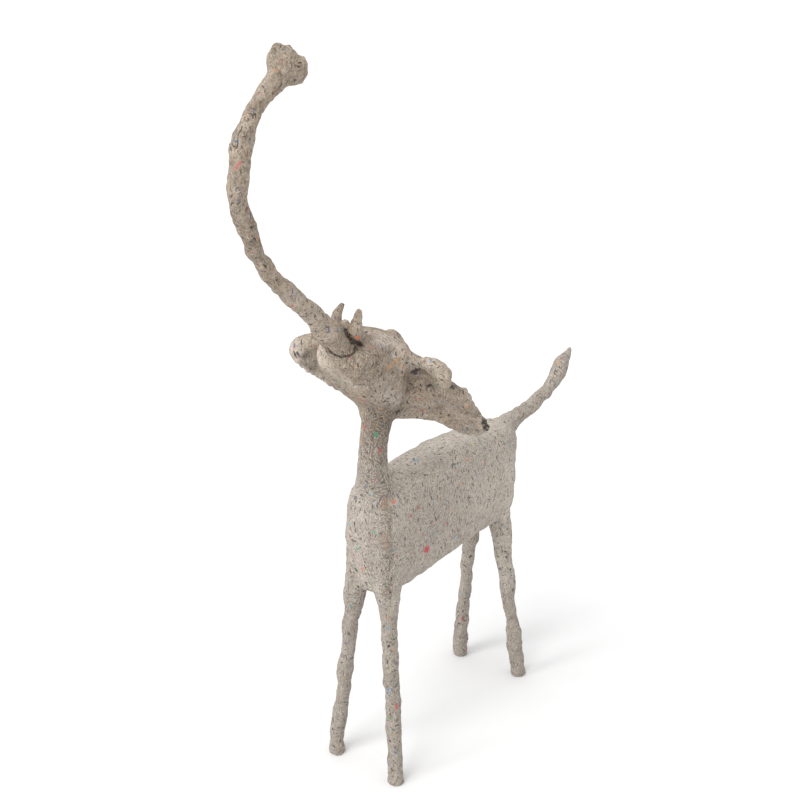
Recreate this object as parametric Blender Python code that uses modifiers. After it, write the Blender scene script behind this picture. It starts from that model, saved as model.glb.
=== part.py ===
"""A slim standing elephant with its trunk thrown up high, pressed by hand from paper pulp as one piece.

The animal faces -Y and its left side is +X. It stands on the ground at z = 0, with the origin
on the ground below the middle of its own box.
"""

import math

import bmesh
import bpy
from mathutils import Vector

# The whole figure
HEIGHT = 0.770          # ground to the top of the raised trunk
MM = HEIGHT / 770.0     # one millimetre of the figure at that height

# The body
BODY_WIDTH = 63 * MM
BODY_BACK = 339 * MM    # ground to the back behind the neck
BODY_BELLY = 213 * MM   # ground to the belly
BODY_LENGTH = 273 * MM  # chest to rump

# The limbs, as thicknesses of the pulp rolls
LEG_RADIUS = 8.2 * MM
FOOT_RADIUS = 9.2 * MM
FRONT_STANCE = 84.5 * MM    # between the front feet, from middle to middle
REAR_STANCE = 84.5 * MM
NECK_RADIUS = 15.5 * MM
TAIL_RADIUS = 9.5 * MM
TRUNK_RADIUS = 8.2 * MM
KNOB_RADIUS = 16.5 * MM

# The head
HEAD_WIDTH = 72 * MM
HEAD_TILT = math.radians(45.0)
EAR_THICKNESS = 9.0 * MM
RIM_CRUMBS = 7
CRUMB_RADIUS = 4.4 * MM
TUSK_RADIUS = 6.2 * MM

# The surface
PULP_CELL = 1.7 * MM    # the grain at which the rolls melt together
DENT_SIZE = 16 * MM
DENT_DEPTH = 1.6 * MM
CREASE_DEPTH = 2.2 * MM
FACETS = 9400

PULP_GREY = (0.42, 0.37, 0.31, 1.0)
RING_POINTS = 20


def at(across, along, up):
    """A place on the figure, given in millimetres."""
    return Vector((across, along, up)) * MM


def clear_scene():
    for thing in list(bpy.data.objects):
        bpy.data.objects.remove(thing, do_unlink=True)


def new_collection(name):
    collection = bpy.data.collections.new(name)
    bpy.context.scene.collection.children.link(collection)
    return collection


def loft(shape, rings, squareness=2.6):
    """Skins a row of closed rings, each a centre with its two half-axes, and caps both ends."""
    loops = []
    for centre, side, rise in rings:
        loop = []
        for step in range(RING_POINTS):
            turn = 2 * math.pi * step / RING_POINTS
            right = math.copysign(abs(math.cos(turn)) ** (2 / squareness), math.cos(turn))
            top = math.copysign(abs(math.sin(turn)) ** (2 / squareness), math.sin(turn))
            loop.append(shape.verts.new(centre + side * right + rise * top))
        loops.append(loop)
    for lower, upper in zip(loops, loops[1:]):
        for step in range(RING_POINTS):
            after = (step + 1) % RING_POINTS
            shape.faces.new((lower[step], lower[after], upper[after], upper[step]))
    shape.faces.new(list(reversed(loops[0])))
    shape.faces.new(loops[-1])


def ball(shape, centre, radius):
    made = bmesh.ops.create_icosphere(shape, subdivisions=2, radius=radius)["verts"]
    bmesh.ops.translate(shape, vec=centre, verts=made)


def roll(shape, stations, radius):
    """A hand-rolled sausage of pulp along (place, swell) stations, with round ends."""
    curve = bpy.data.curves.new("roll", "CURVE")
    curve.dimensions = "3D"
    curve.bevel_depth = radius
    curve.bevel_resolution = 3
    curve.resolution_u = 5
    curve.use_fill_caps = True
    spline = curve.splines.new("BEZIER")
    spline.radius_interpolation = "CARDINAL"
    spline.bezier_points.add(len(stations) - 1)
    for point, (place, swell) in zip(spline.bezier_points, stations):
        point.co = place
        point.radius = swell
        point.handle_left_type = "AUTO"
        point.handle_right_type = "AUTO"
    holder = bpy.data.objects.new("roll", curve)
    bpy.context.scene.collection.objects.link(holder)
    graph = bpy.context.evaluated_depsgraph_get()
    mesh = bpy.data.meshes.new_from_object(holder.evaluated_get(graph))
    shape.from_mesh(mesh)
    bpy.data.meshes.remove(mesh)
    bpy.data.objects.remove(holder, do_unlink=True)
    bpy.data.curves.remove(curve)
    for place, swell in (stations[0], stations[-1]):
        ball(shape, place, radius * swell)


def body(shape):
    """The flat-sided barrel of the body: a level slab with a blunt chest and a round rump."""
    half = BODY_WIDTH / 2
    tall = (BODY_BACK - BODY_BELLY) / 2
    middle = (BODY_BACK + BODY_BELLY) / 2
    # Share of the length, of the half width and of the half height, and the rise of the middle in mm
    sections = (
        (0.000, 0.62, 0.58, -8.0),
        (0.012, 0.86, 0.80, -6.0),
        (0.045, 1.00, 0.92, -4.0),
        (0.110, 1.04, 0.96, -2.2),
        (0.230, 1.04, 0.96, -1.5),
        (0.340, 1.04, 0.98, 0.0),
        (0.540, 1.04, 0.97, 0.6),
        (0.800, 1.02, 0.92, -2.0),
        (0.900, 0.92, 0.88, -4.0),
        (0.965, 0.70, 0.80, -5.0),
        (1.000, 0.30, 0.56, -6.0),
    )
    rings = []
    for share, wide, high, rise in sections:
        centre = Vector((0.0, share * BODY_LENGTH, middle + rise * MM))
        rings.append((centre, Vector((-half * wide, 0, 0)), Vector((0, 0, tall * high))))
    loft(shape, rings, squareness=4.3)


def neck(shape):
    # Along and up in mm, then the half width and the half depth as shares of the neck's radius
    sections = (
        (36, 258, 1.10, 1.10), (34, 298, 1.90, 1.95), (31, 318, 1.82, 1.80), (23, 331, 1.50, 1.34),
        (17, 342, 1.14, 1.06), (15, 355, 0.96, 0.95), (15, 372, 0.87, 0.88), (18, 388, 0.86, 0.88),
        (23, 404, 1.02, 1.05), (28, 422, 1.40, 1.45),
    )
    rings = []
    for along, up, wide, deep in sections:
        side = Vector((NECK_RADIUS * wide, 0, 0))
        rings.append((at(0, along, up), side, Vector((0, NECK_RADIUS * deep, 0))))
    loft(shape, rings, squareness=2.2)


def leg(shape, side, hip, foot, stations):
    """A leg from the hip to the foot, with (share of the way down, swell, bow outwards in mm) stations."""
    places = []
    for share, swell, bow in stations:
        place = hip.lerp(foot, share) + at(side * bow, 0, 0)
        places.append((place, swell))
    places.append((foot, FOOT_RADIUS / LEG_RADIUS))
    roll(shape, places, LEG_RADIUS)


def legs(shape):
    front = FRONT_STANCE / 2
    rear = REAR_STANCE / 2
    hip = BODY_WIDTH * 0.32
    near_front_foot = Vector((front - 2.7 * MM, -1 * MM, 0))
    far_front_foot = Vector((-front - 2.7 * MM, 3 * MM, 0))
    near_rear_foot = Vector((rear - 2.2 * MM, BODY_LENGTH - 15.5 * MM, 0))
    far_rear_foot = Vector((-rear - 2.2 * MM, BODY_LENGTH - 18.5 * MM, 0))
    near_rump = BODY_LENGTH - 32.5 * MM
    far_rump = BODY_LENGTH - 39.5 * MM
    leg(shape, 1, Vector((hip, 13 * MM, BODY_BELLY - 3 * MM)), near_front_foot, (
        (-0.12, 1.35, 0), (-0.03, 1.58, 0), (0.06, 1.25, 0), (0.16, 1.03, -0.3), (0.38, 1.05, -0.4),
        (0.52, 1.00, 0.6), (0.60, 0.97, 0.4), (0.70, 1.02, 0), (0.77, 0.93, -0.2), (0.86, 0.99, 0),
        (0.93, 0.93, -0.4)))
    leg(shape, -1, Vector((-hip, 6.3 * MM, BODY_BELLY - 12 * MM)), far_front_foot, (
        (-0.16, 1.35, 0), (-0.03, 1.50, 0), (0.10, 1.10, -0.2), (0.19, 1.04, 1.5), (0.32, 0.96, -0.2),
        (0.46, 1.05, 2.2), (0.55, 0.92, 0), (0.65, 0.92, 1.0), (0.74, 1.08, 1.2), (0.83, 0.98, 2.4),
        (0.93, 0.96, 1.8)))
    leg(shape, 1, Vector((hip, near_rump, BODY_BELLY - 25 * MM)), near_rear_foot, (
        (-0.30, 1.40, 0), (-0.14, 1.66, 0), (0.00, 1.46, 0), (0.10, 1.27, -1.0), (0.27, 1.18, 0),
        (0.38, 1.10, -0.4), (0.48, 0.90, -0.8), (0.58, 0.88, 0), (0.67, 1.06, 1.0), (0.77, 1.18, -0.2),
        (0.88, 1.06, 0.2)))
    leg(shape, -1, Vector((-hip, far_rump, BODY_BELLY - 49 * MM)), far_rear_foot, (
        (-0.50, 1.20, 0), (-0.24, 1.36, 0), (0.00, 1.00, 0.8), (0.12, 0.96, 1.6), (0.36, 0.92, 1.2),
        (0.50, 0.93, 2.0), (0.63, 1.09, 1.8), (0.77, 1.08, 1.4), (0.90, 1.08, 1.0)))


def tail(shape):
    """The tail, held out behind the rump, with a bud at its tip."""
    rump = Vector((0.0, BODY_LENGTH, BODY_BACK))
    # Behind the rump and above the back in mm, then the swell, from inside the rump to the bud
    stations = (
        (-23, -28, 1.40), (10, -22, 1.24), (28, -19, 1.01), (46, -17, 0.98), (65, -15, 0.91),
        (79, -11, 0.82), (94, -8, 0.83), (106, -3, 0.85), (118, 2, 0.95), (128, 11, 1.10),
        (136, 20, 1.02), (146, 26, 0.66), (155, 33, 0.28),
    )
    roll(shape, [(rump + at(0, behind, above), swell) for behind, above, swell in stations], TAIL_RADIUS)


def head(shape):
    """The thrown-back head, skinned along its own axis from behind the neck to the muzzle."""
    forward = Vector((0, -math.cos(HEAD_TILT), math.sin(HEAD_TILT)))
    crown = Vector((0, math.sin(HEAD_TILT), math.cos(HEAD_TILT)))
    nape = at(0, 24, 436)
    # Along the axis and towards the crown in mm, then shares of the half width and half depth
    sections = (
        (-34, -5, 0.34, 0.34),
        (-26, -1, 0.56, 0.62),
        (-12, 6.5, 0.76, 0.84),
        (2, 10, 0.91, 0.94),
        (18, 11, 0.98, 1.01),
        (38, 9.5, 0.99, 1.00),
        (54, 6, 0.96, 0.84),
        (68, 1, 0.90, 0.66),
        (78, -2, 0.74, 0.50),
        (84, -3, 0.44, 0.28),
    )
    half = HEAD_WIDTH / 2
    rings = []
    for along, towards_crown, wide, deep in sections:
        centre = nape + forward * along * MM + crown * towards_crown * MM
        rings.append((centre, Vector((half * wide, 0, 0)), crown * half * deep))
    loft(shape, rings, squareness=2.9)


def ear(shape, side, ribs):
    """A wing-like ear, skinned over flat ribs from the head to the rim."""
    rings = []
    for across, top_along, top_up, low_along, low_up, thick in ribs:
        top = at(side * across, top_along, top_up)
        low = at(side * across, low_along, low_up)
        chord = (top - low) / 2
        face = chord.cross(Vector((side, 0, 0))).normalized()
        rings.append(((top + low) / 2, chord, face * EAR_THICKNESS / 2 * thick))
    loft(shape, rings, squareness=2.4)


def ragged_rim(shape, start, end):
    """A row of pulp crumbs pressed along the outer edge of an ear."""
    for crumb in range(RIM_CRUMBS):
        share = crumb / (RIM_CRUMBS - 1)
        size = CRUMB_RADIUS * (1.0 + 0.2 * math.sin(9.0 * share))
        ball(shape, start.lerp(end, share), size)


def ears(shape):
    # Across, along and up of the upper edge, along and up of the lower edge, then the thickness
    ear(shape, 1, (
        (14, 34, 470, 33, 402, 2.6), (33, 37, 470, 48, 403, 1.6), (45, 34, 471, 58, 400, 1.2),
        (60, 29, 470, 78, 384, 1.0), (72, 31, 463, 92, 379, 0.9), (82, 43, 447, 96, 383, 0.9),
        (87, 57, 430, 90, 392, 0.7)))
    roll(shape, ((at(30, 34, 468), 0.90), (at(45, 33, 468), 0.62), (at(58, 29, 469), 0.78),
                 (at(69, 27, 467), 0.92), (at(76, 26, 462), 0.90), (at(77, 28, 455), 0.72)),
         EAR_THICKNESS)
    ragged_rim(shape, at(84, 50, 441), at(88, 86, 394))
    ear(shape, -1, (
        (14, 34, 470, 33, 410, 2.6), (33, 30, 474, 45, 412, 1.6), (45, 24, 476, 53, 410, 1.2),
        (60, 15, 477, 69, 398, 1.0), (73, 9, 473, 79, 397, 0.9), (84, 4, 464, 71, 401, 0.9),
        (90, 2, 452, 51, 417, 0.7)))
    roll(shape, ((at(-30, 32, 470), 1.00), (at(-48, 22, 473), 0.80), (at(-66, 12, 475), 0.90),
                 (at(-78, 7, 472), 1.00), (at(-85, 4, 464), 1.00), (at(-84, 5, 456), 0.80)),
         EAR_THICKNESS)
    ragged_rim(shape, at(-87, 13, 446), at(-83, 62, 409))


def tusks(shape):
    roll(shape, ((at(15, -22, 498), 1.35), (at(16, -30, 506), 1.20), (at(18, -34, 513), 1.00),
                 (at(20, -34, 523), 0.64), (at(21, -33, 531), 0.32)), TUSK_RADIUS)
    roll(shape, ((at(-12, -22, 500), 1.20), (at(-14, -23, 510), 0.90), (at(-14, -20, 518), 0.70),
                 (at(-15, -14, 526), 0.32)), TUSK_RADIUS)
    ball(shape, at(1, -28, 512), TUSK_RADIUS)


def trunk(shape):
    # Along and up in mm, then the swell, from the rounded root on the face to below the knob
    stations = (
        (-36, 496, 1.72), (-49, 509, 1.66), (-61, 520, 1.36), (-80, 539, 1.08), (-97, 552, 1.05),
        (-109, 564, 1.03), (-122, 575, 0.98), (-131, 586, 0.94), (-139, 596, 0.91), (-146, 606, 1.02),
        (-150, 615, 0.95), (-157, 632, 1.08), (-162, 645, 0.96), (-163, 658, 0.99), (-160, 673, 1.16),
        (-159, 684, 1.08), (-154, 697, 1.18), (-149, 706, 0.95), (-144, 713, 0.87), (-130, 726, 0.94),
        (-119, 735, 1.00), (-108, 742, 1.22),
    )
    roll(shape, [(at(0, along, up), swell) for along, up, swell in stations], TRUNK_RADIUS)
    # The knob at the tip: a pressed ball with a pointed bump and a small round one on top
    ball(shape, at(0, -93, 748), KNOB_RADIUS * 0.86)
    ball(shape, at(0, -102, 754), KNOB_RADIUS * 0.82)
    ball(shape, at(0, -83, 746), KNOB_RADIUS * 0.50)
    ball(shape, at(0, -108, 764), KNOB_RADIUS * 0.36)
    ball(shape, at(0, -96, 764), KNOB_RADIUS * 0.26)


def pulp_material():
    material = bpy.data.materials.new("paper_pulp")
    material.use_nodes = True
    shader = material.node_tree.nodes["Principled BSDF"]
    shader.inputs["Base Color"].default_value = PULP_GREY
    shader.inputs["Roughness"].default_value = 0.95
    shader.inputs["Metallic"].default_value = 0.0
    return material


def baked(holder):
    """The object's mesh with its modifiers applied."""
    graph = bpy.context.evaluated_depsgraph_get()
    mesh = bpy.data.meshes.new_from_object(holder.evaluated_get(graph))
    holder.modifiers.clear()
    rough = holder.data
    holder.data = mesh
    bpy.data.meshes.remove(rough)
    return mesh


def melt_together(holder):
    """Fuses the overlapping rolls into one skin, softens the joins and presses shallow dents in it."""
    fuse = holder.modifiers.new("Fuse", "REMESH")
    fuse.mode = "VOXEL"
    fuse.voxel_size = PULP_CELL
    soften = holder.modifiers.new("Soften", "SMOOTH")
    soften.factor = 0.5
    soften.iterations = 9
    dents = bpy.data.textures.new("finger_dents", "CLOUDS")
    dents.noise_scale = DENT_SIZE
    dents.noise_depth = 1
    press = holder.modifiers.new("Press", "DISPLACE")
    press.texture = dents
    press.texture_coords = "LOCAL"
    press.strength = DENT_DEPTH * 2
    press.mid_level = 0.32
    baked(holder)


def distance_to(place, start, end):
    """How far a place is from the stretch between start and end."""
    along = end - start
    share = (place - start).dot(along) / max(along.length_squared, 1e-12)
    return (place - start.lerp(end, min(max(share, 0.0), 1.0))).length


def press(mesh, route, reach, depth):
    """Presses a round-bottomed groove of that reach and depth into the skin along a route."""
    moves = []
    for vert in mesh.vertices:
        away = min(distance_to(vert.co, start, end) for start, end in zip(route, route[1:]))
        if away < reach:
            moves.append((vert, vert.normal * depth * (1 - (away / reach) ** 2) ** 2))
    for vert, move in moves:
        vert.co -= move


def press_face(mesh):
    """The mouth crease under the trunk's root, the gap beside the near tusk, the brow and the ear's hollow."""
    mouth = (at(-9, -50, 497), at(2, -50, 491), at(9, -45, 488), at(15, -41, 491), at(18, -35, 497))
    press(mesh, mouth, 3.4 * MM, CREASE_DEPTH)
    gap = (at(12, -42, 512), at(17, -40, 506), at(18, -36, 501), at(23, -27, 498))
    press(mesh, gap, 4.0 * MM, CREASE_DEPTH * 1.7)
    brow = (at(27, -20, 496), at(32, -14, 492), at(34, -1, 484), at(36, 12, 474))
    press(mesh, brow, 7.0 * MM, CREASE_DEPTH * 0.8)
    hollow = (at(39, 36, 436), at(49, 35, 451), at(58, 30, 460))
    press(mesh, hollow, 11.0 * MM, CREASE_DEPTH * 1.3)


def facet(holder):
    """Brings the skin down to the number of facets that the form needs."""
    holder.data.calc_loop_triangles()
    thin = holder.modifiers.new("Facet", "DECIMATE")
    thin.ratio = FACETS / len(holder.data.loop_triangles)
    baked(holder)


def stand(holder, cutters):
    """Puts the origin below the middle of the figure and cuts the soles flat."""
    corners = [Vector(corner) for corner in holder.bound_box]
    low = Vector(min(corner[axis] for corner in corners) for axis in range(3))
    high = Vector(max(corner[axis] for corner in corners) for axis in range(3))
    middle = (low + high) / 2
    for vert in holder.data.vertices:
        vert.co.x -= middle.x
        vert.co.y -= middle.y
    slab = bpy.data.meshes.new("ground")
    shape = bmesh.new()
    bmesh.ops.create_cube(shape, size=HEIGHT)
    shape.to_mesh(slab)
    shape.free()
    ground = bpy.data.objects.new("ground", slab)
    ground.location.z = -HEIGHT / 2
    ground.display_type = "WIRE"
    ground.hide_render = True
    cutters.objects.link(ground)
    cut = holder.modifiers.new("Soles", "BOOLEAN")
    cut.operation = "DIFFERENCE"
    cut.object = ground
    return middle


def build():
    clear_scene()
    parts = new_collection("elephant_statue")
    cutters = new_collection("cutters")
    shape = bmesh.new()
    body(shape)
    neck(shape)
    legs(shape)
    tail(shape)
    head(shape)
    ears(shape)
    tusks(shape)
    trunk(shape)
    bmesh.ops.remove_doubles(shape, verts=shape.verts, dist=0.00001)
    bmesh.ops.recalc_face_normals(shape, faces=shape.faces)
    mesh = bpy.data.meshes.new("elephant")
    shape.to_mesh(mesh)
    shape.free()
    elephant = bpy.data.objects.new("elephant", mesh)
    parts.objects.link(elephant)
    melt_together(elephant)
    press_face(elephant.data)
    facet(elephant)
    moved = stand(elephant, cutters)
    elephant.data.materials.append(pulp_material())
    elephant.data.shade_smooth()
    return moved


middle_of_box = build()
print(f"The front feet stand {1000 * middle_of_box.y:.1f} mm ahead of the origin")
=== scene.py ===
# %% [markdown]
# # A standing elephant of rolled paper pulp
#
# The real statue was rolled and pinched by hand from soaked waste paper. Its body, neck, legs, head and
# raised trunk are one lump that dried hard, so it has no joints, no paint and no varnish. What makes it
# look real is the pulp itself: finger dents along the limbs, crumbs along the torn rims of the ears,
# tangled grey fibres, and small flecks of coloured paper that never quite dissolved.
#
# The CAD model holds the statue's form as one faceted solid. This script loads that solid, softens it into
# one fine skin, presses the small creases into it and gives it a pulp material made of nodes.

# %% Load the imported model
import math
import bmesh
import bpy
import numpy as np
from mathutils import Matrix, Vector


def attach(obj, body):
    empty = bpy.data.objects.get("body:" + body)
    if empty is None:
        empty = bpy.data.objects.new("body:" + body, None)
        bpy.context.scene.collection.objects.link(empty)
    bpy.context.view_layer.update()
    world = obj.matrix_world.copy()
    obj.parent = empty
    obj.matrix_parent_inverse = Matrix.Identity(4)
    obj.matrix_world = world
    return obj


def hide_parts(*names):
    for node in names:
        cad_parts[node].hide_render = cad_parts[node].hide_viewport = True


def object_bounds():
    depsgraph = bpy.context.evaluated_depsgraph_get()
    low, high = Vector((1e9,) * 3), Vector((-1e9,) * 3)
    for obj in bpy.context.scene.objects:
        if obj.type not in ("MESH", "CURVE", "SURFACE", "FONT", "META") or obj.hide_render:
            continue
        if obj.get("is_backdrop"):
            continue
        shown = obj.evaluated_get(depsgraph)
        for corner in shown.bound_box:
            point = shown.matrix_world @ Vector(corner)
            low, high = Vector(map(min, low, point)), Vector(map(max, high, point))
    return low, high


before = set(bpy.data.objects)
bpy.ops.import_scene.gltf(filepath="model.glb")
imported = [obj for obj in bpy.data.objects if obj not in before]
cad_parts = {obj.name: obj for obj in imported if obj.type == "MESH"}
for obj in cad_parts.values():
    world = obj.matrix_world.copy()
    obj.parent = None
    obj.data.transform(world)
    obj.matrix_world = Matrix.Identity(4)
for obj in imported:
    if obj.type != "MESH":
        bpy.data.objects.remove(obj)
cad_low, cad_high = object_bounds()
print("The CAD box in mm:", [round(1000 * (high - low), 1) for low, high in zip(cad_low, cad_high)])

# %% [markdown]
# ## Places on the statue
#
# Every place below is written in millimetres as it was measured on the model: across to the animal's left,
# along to its tail from the line of its front feet, and up from the floor. Blender works in metres from the
# middle of the box, so one helper turns the first into the second.

# %% Turn a place on the statue into Blender's metres
MM = 0.001
MIDDLE = Vector((0.8, -129.8, 0.0))


def spot(across, along, up):
    return (Vector((across, along, up)) + MIDDLE) * MM


print("The left front foot stands near", [round(value, 3) for value in spot(40, 0, 0)])

# %% [markdown]
# ## Camera, floor and light
#
# The photograph looks down on the statue by about twenty degrees, from its left and a little from the front.
# It stands on white paper under a wide soft light that comes from ahead of the animal, so its shadow falls
# faintly behind it. A white world gives the even light and two very soft suns give the direction, one low
# from the front and one from above. The Standard view keeps the white paper white.

# %% Set up the camera
LENS, SENSOR = 54, 36
CAMERA_PLACE = (0.673187, -1.001002, 0.831802)
CAMERA_DIP, CAMERA_TURN = 20.087, 35.792  # degrees below the horizon, and round from looking along +Y

camera = bpy.data.objects.new("camera", bpy.data.cameras.new("camera"))
bpy.context.collection.objects.link(camera)
camera.data.lens = LENS
camera.data.sensor_width = SENSOR
camera.location = CAMERA_PLACE
camera.rotation_euler = (math.radians(90 - CAMERA_DIP), 0, math.radians(CAMERA_TURN))
bpy.context.scene.camera = camera
print("The camera stands", round(camera.location.length, 2), "m from the statue's middle on the floor")

# %% Lay the floor and light it
FLOOR_REACH, FLOOR_DROP = 90, 0.0002  # metres, and the drop keeps the paper just below the soles
PAPER_WHITE, WORLD_WHITE = (0.775, 0.775, 0.775, 1), (1, 1, 1, 1)

corners = ((-1, -1), (1, -1), (1, 1), (-1, 1))
floor_mesh = bpy.data.meshes.new("floor")
floor_mesh.from_pydata([(FLOOR_REACH * x, FLOOR_REACH * y, -FLOOR_DROP) for x, y in corners], [], [(0, 1, 2, 3)])
floor = bpy.data.objects.new("floor", floor_mesh)
bpy.context.collection.objects.link(floor)
paper = bpy.data.materials.new("white paper floor")
paper.use_nodes = True
finish = paper.node_tree.nodes["Principled BSDF"].inputs
finish["Base Color"].default_value = PAPER_WHITE
finish["Roughness"].default_value = 0.9
finish["Specular IOR Level"].default_value = 0.1
floor_mesh.materials.append(paper)
floor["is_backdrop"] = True

scene = bpy.context.scene
scene.view_settings.view_transform = "Standard"
world = scene.world or bpy.data.worlds.new("studio")
scene.world = world
world.use_nodes = True
around = world.node_tree.nodes["Background"].inputs
around["Color"].default_value = WORLD_WHITE
around["Strength"].default_value = 1.0


def soft_sun(name, strength, softness, heading, height):
    """A sun as wide as its softness. Its rays run along a heading from +X and down at a height, in degrees."""
    light = bpy.data.objects.new(name, bpy.data.lights.new(name, "SUN"))
    bpy.context.collection.objects.link(light)
    light.data.energy = strength
    light.data.angle = math.radians(softness)
    heading, height = math.radians(heading), math.radians(height)
    rays = Vector((math.cos(heading), math.sin(heading), -math.tan(height)))
    light.rotation_euler = rays.to_track_quat("-Z", "Y").to_euler()


soft_sun("front light", 0.95, 20, 66, 26)
soft_sun("top light", 1.20, 25, 90, 51)
print("World and two soft lights are set, view transform", scene.view_settings.view_transform)

# %% [markdown]
# ## A helper for node trees
#
# Both the relief and the pulp material are trees of nodes. One short helper adds a node, fills or links its
# inputs and hands back the output that the next node needs, so that a tree reads like a recipe.

# %% Add one node and take one output of it
def add(tree, kind, inputs, out=0, **settings):
    node = tree.nodes.new(kind)
    for name, value in settings.items():
        setattr(node, name, value)
    for name, value in inputs.items():
        if isinstance(value, bpy.types.NodeSocket):
            tree.links.new(value, node.inputs[name])
        else:
            node.inputs[name].default_value = value
    return node.outputs[out]


def maths(tree, operation, *values, clamp=False):
    return add(tree, "ShaderNodeMath", dict(enumerate(values)), operation=operation, use_clamp=clamp)


def vectors(tree, operation, *values, out=0):
    return add(tree, "ShaderNodeVectorMath", dict(enumerate(values)), out, operation=operation)


def new_group(name, kind, takes, gives):
    """A node group with named inputs, each with its default, and named outputs."""
    tree = bpy.data.node_groups.new(name, kind)
    for label, (socket, value) in takes.items():
        made = tree.interface.new_socket(label, in_out="INPUT", socket_type="NodeSocket" + socket)
        if value is not None:
            made.default_value = value
    for label, socket in gives.items():
        tree.interface.new_socket(label, in_out="OUTPUT", socket_type="NodeSocket" + socket)
    return tree, tree.nodes.new("NodeGroupInput").outputs, tree.nodes.new("NodeGroupOutput").inputs


print("Helpers for node trees are ready")

# %% [markdown]
# ## Crumbs along the torn rim of the near ear
#
# The ears are slabs of pulp whose rear rims were torn, not cut, and the near one ends in a row of crumbs.
# The CAD model holds the coarse tears and this adds the small crumbs. A row of like things along a path is
# work for Geometry Nodes: the rim is drawn as a curve, points are spread along it, and each takes a small
# ball of a random size. The crumbs are melted into the skin afterwards.

# %% Build the tree that strings crumbs along a curve
def crumb_tree():
    tree, given, result = new_group("crumbled rim", "GeometryNodeTree", {
        "Rim": ("Geometry", None), "Spacing": ("Float", 0.0078), "Crumb Radius": ("Float", 0.0036),
        "Smallest": ("Float", 0.65), "Largest": ("Float", 1.3), "Scatter": ("Float", 0.0012),
        "Seed": ("Int", 4), "Finish": ("Material", None)}, {"Crumbs": "Geometry"})
    points = add(tree, "GeometryNodeResampleCurve",
                 {"Curve": given["Rim"], "Length": given["Spacing"]}, mode="LENGTH")
    push = vectors(tree, "SCALE", add(tree, "FunctionNodeRandomValue", {
        0: (-1, -1, -1), 1: (1, 1, 1), "Seed": given["Seed"]}, data_type="FLOAT_VECTOR"))
    tree.links.new(given["Scatter"], push.node.inputs["Scale"])
    moved = add(tree, "GeometryNodeSetPosition", {"Geometry": points, "Offset": push})
    ball = add(tree, "GeometryNodeMeshIcoSphere", {"Radius": given["Crumb Radius"], "Subdivisions": 2})
    size = add(tree, "FunctionNodeRandomValue", {
        2: given["Smallest"], 3: given["Largest"], "Seed": given["Seed"]}, 1, data_type="FLOAT")
    stretch = add(tree, "ShaderNodeCombineXYZ", {"X": size, "Y": maths(tree, "MULTIPLY", size, 1.25), "Z": size})
    crumbs = add(tree, "GeometryNodeInstanceOnPoints", {"Points": moved, "Instance": ball, "Scale": stretch})
    real = add(tree, "GeometryNodeRealizeInstances", {"Geometry": crumbs})
    finished = add(tree, "GeometryNodeSetMaterial", {"Geometry": real, "Material": given["Finish"]})
    tree.links.new(finished, result["Crumbs"])
    return tree


CRUMB_TREE = crumb_tree()
print("The crumb tree has", len(CRUMB_TREE.nodes), "nodes")

# %% [markdown]
# A modifier holds the tree on an object. Its inputs are reached by each socket's identifier, which Blender
# hands out when the socket is made. The finished shape is read back as a plain mesh, and the helper object
# is thrown away.

# %% Run a tree on an object and keep the plain mesh
pulp = bpy.data.materials.new("paper pulp")
pulp.use_nodes = True


def grown(thing, tree, values):
    modifier = thing.modifiers.new(tree.name, "NODES")
    modifier.node_group = tree
    for socket in tree.interface.items_tree:
        if socket.item_type == "SOCKET" and socket.in_out == "INPUT" and socket.name in values:
            modifier[socket.identifier] = values[socket.name]
    ready = thing.evaluated_get(bpy.context.evaluated_depsgraph_get())
    mesh = bpy.data.meshes.new_from_object(ready)
    thing.modifiers.remove(modifier)
    return mesh


NEAR_RIM = ((77, 39, 449), (83, 47, 436), (86, 60, 421), (87, 74, 405), (86, 85, 392))
RIM_SEED = 4
BALL_POINTS = 42  # how many points one crumb has


def rim_crumbs(name, route, seed):
    curve = bpy.data.curves.new(name, "CURVE")
    curve.dimensions = "3D"
    line = curve.splines.new("POLY")
    line.points.add(len(route) - 1)
    for point, place in zip(line.points, route):
        point.co = (*spot(*place), 1)
    string = bpy.data.objects.new(name, curve)
    bpy.context.collection.objects.link(string)
    crumbs = grown(string, CRUMB_TREE, {"Seed": seed, "Finish": pulp})
    bpy.data.objects.remove(string)
    return crumbs


near_crumbs = rim_crumbs("near rim", NEAR_RIM, RIM_SEED)
print("Crumbs on the near rim:", len(near_crumbs.vertices) // BALL_POINTS)

# %% [markdown]
# ## Two little tusks
#
# The tusks are pinched cones that lean back, as short as a finger's tip. Smoothing would round them away, so
# each gets a fresh coat first: a tube that narrows along a line of places, and ends in a blunt tip.

# %% Coat the tusks
# across, along, up and radius
NEAR_TUSK = ((17.4, -34, 510, 7.6), (18.4, -34, 516, 6.9), (19.7, -33.2, 522, 5.3), (20.5, -32, 528, 3.6),
             (21.0, -31.2, 532, 2.3))
FAR_TUSK = ((-13.2, -24, 510, 6.2), (-14.5, -21, 516, 5.8), (-15.2, -17.5, 521, 4.6), (-14.8, -13.5, 525, 3.3),
            (-14.2, -11.5, 528, 2.3))
TUBE_SIDES = 16


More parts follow.
